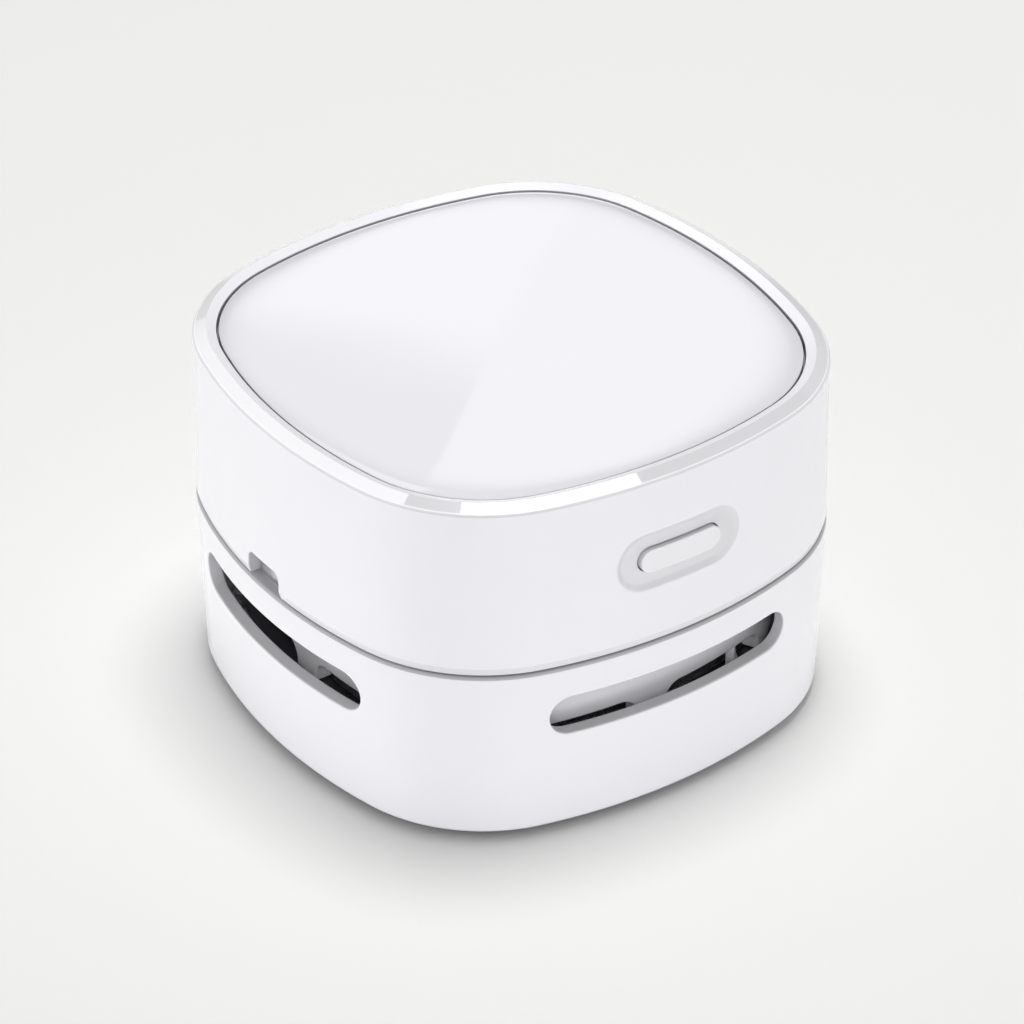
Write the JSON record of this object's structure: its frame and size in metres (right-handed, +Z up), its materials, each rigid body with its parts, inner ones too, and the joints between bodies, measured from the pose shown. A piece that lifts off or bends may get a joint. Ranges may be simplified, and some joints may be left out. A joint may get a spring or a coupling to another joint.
{
  "type": "desktop mini vacuum cleaner",
  "caption": "Palm-sized rounded-square desk vacuum: dust box with brushes, inlet and side air slots, and a lift-off motor unit with push button and fan.",
  "frame": {"origin": "on the desk under the middle of the body", "axes": "+Z up, push button on the -Y side, finger notch on the -X side, charging port on the +Y side"},
  "size_m": [0.08, 0.08, 0.0531],
  "materials": {
    "shell_white": "glossy moulded white",
    "panel_white": "glossy moulded white, crowned",
    "button_white": "glossy moulded white",
    "housing_grey": "satin moulded light grey",
    "base_white": "satin moulded off-white",
    "filter_frame_dark": "satin moulded dark grey",
    "filter_cloth": "fine woven filter cloth",
    "bristle_black": "nylon bristles in a moulded backing",
    "glide_white": "smooth glide plastic",
    "seal_grey": "soft rubber",
    "screw_steel": "zinc-plated",
    "chassis_grey": "satin moulded light grey",
    "motor_steel": "drawn steel",
    "shaft_steel": "ground steel",
    "end_cap_black": "moulded black",
    "terminal_brass": "tinned brass",
    "magnet_ferrite": "sintered ferrite",
    "armature_copper": "enamelled copper winding on a laminated core",
    "commutator_copper": "turned copper",
    "fan_dark": "satin moulded dark grey",
    "cell_wrap": "blue shrink wrap over a metal can",
    "board_green": "solder mask over glass fibre",
    "switch_black": "moulded black",
    "plunger_dark": "moulded dark grey",
    "port_steel": "nickel-plated sleeve",
    "wire_red": "soft insulation",
    "wire_black": "soft insulation"
  },
  "bodies": {
    "dust_box": {"lower_shell": "shell_white", "base_plate": "base_white", "brush_front": "bristle_black", "brush_right": "bristle_black", "brush_rear": "bristle_black", "brush_left": "bristle_black", "glide_foot_1": "glide_white", "glide_foot_2": "glide_white", "glide_foot_3": "glide_white", "glide_foot_4": "glide_white", "base_screw_1": "screw_steel", "base_screw_2": "screw_steel", "base_screw_3": "screw_steel", "base_screw_4": "screw_steel"},
    "main_unit": {"fan_housing": "housing_grey", "neck_seal": "seal_grey", "upper_shell": "shell_white", "top_panel": "panel_white", "shell_screw_1": "screw_steel", "shell_screw_2": "screw_steel", "shell_screw_3": "screw_steel", "shell_screw_4": "screw_steel", "chassis_plate": "chassis_grey", "chassis_screw_left": "screw_steel", "chassis_screw_right": "screw_steel", "motor_can": "motor_steel", "motor_end_cap": "end_cap_black", "motor_terminal_left": "terminal_brass", "motor_terminal_right": "terminal_brass", "motor_magnet_left": "magnet_ferrite", "motor_magnet_right": "magnet_ferrite", "motor_screw_left": "screw_steel", "motor_screw_right": "screw_steel", "battery_cell": "cell_wrap", "control_board": "board_green", "switch_body": "switch_black", "port_board": "board_green", "charging_port": "port_steel", "motor_lead_red": "wire_red", "motor_lead_black": "wire_black", "battery_lead_red": "wire_red", "battery_lead_black": "wire_black"},
    "rotor": {"impeller": "fan_dark", "motor_shaft": "shaft_steel", "motor_armature": "armature_copper", "commutator": "commutator_copper"},
    "button": {"power_button": "button_white", "switch_plunger": "plunger_dark"},
    "filter": {"filter_frame": "filter_frame_dark", "filter_mesh": "filter_cloth"}
  },
  "joints": [
    {"name": "lift", "type": "slide", "parent": "dust_box", "child": "main_unit", "axis": [0, 0, 1], "range_m": [0, 0.04]},
    {"name": "fan_spin", "type": "hinge", "parent": "main_unit", "child": "rotor", "pos_m": [0, 0, 0.014], "axis": [0, 0, 1], "continuous": true},
    {"name": "button_press", "type": "slide", "parent": "main_unit", "child": "button", "axis": [0, 1, 0], "range_m": [0, 0.0008], "stiffness_N_per_m": 400},
    {"name": "filter_release", "type": "slide", "parent": "main_unit", "child": "filter", "axis": [0, 0, -1], "range_m": [0, 0.018]}
  ],
  "couplings": [
    {"joint": "filter_release", "follows": "lift", "ratio": 0.45}
  ]
}
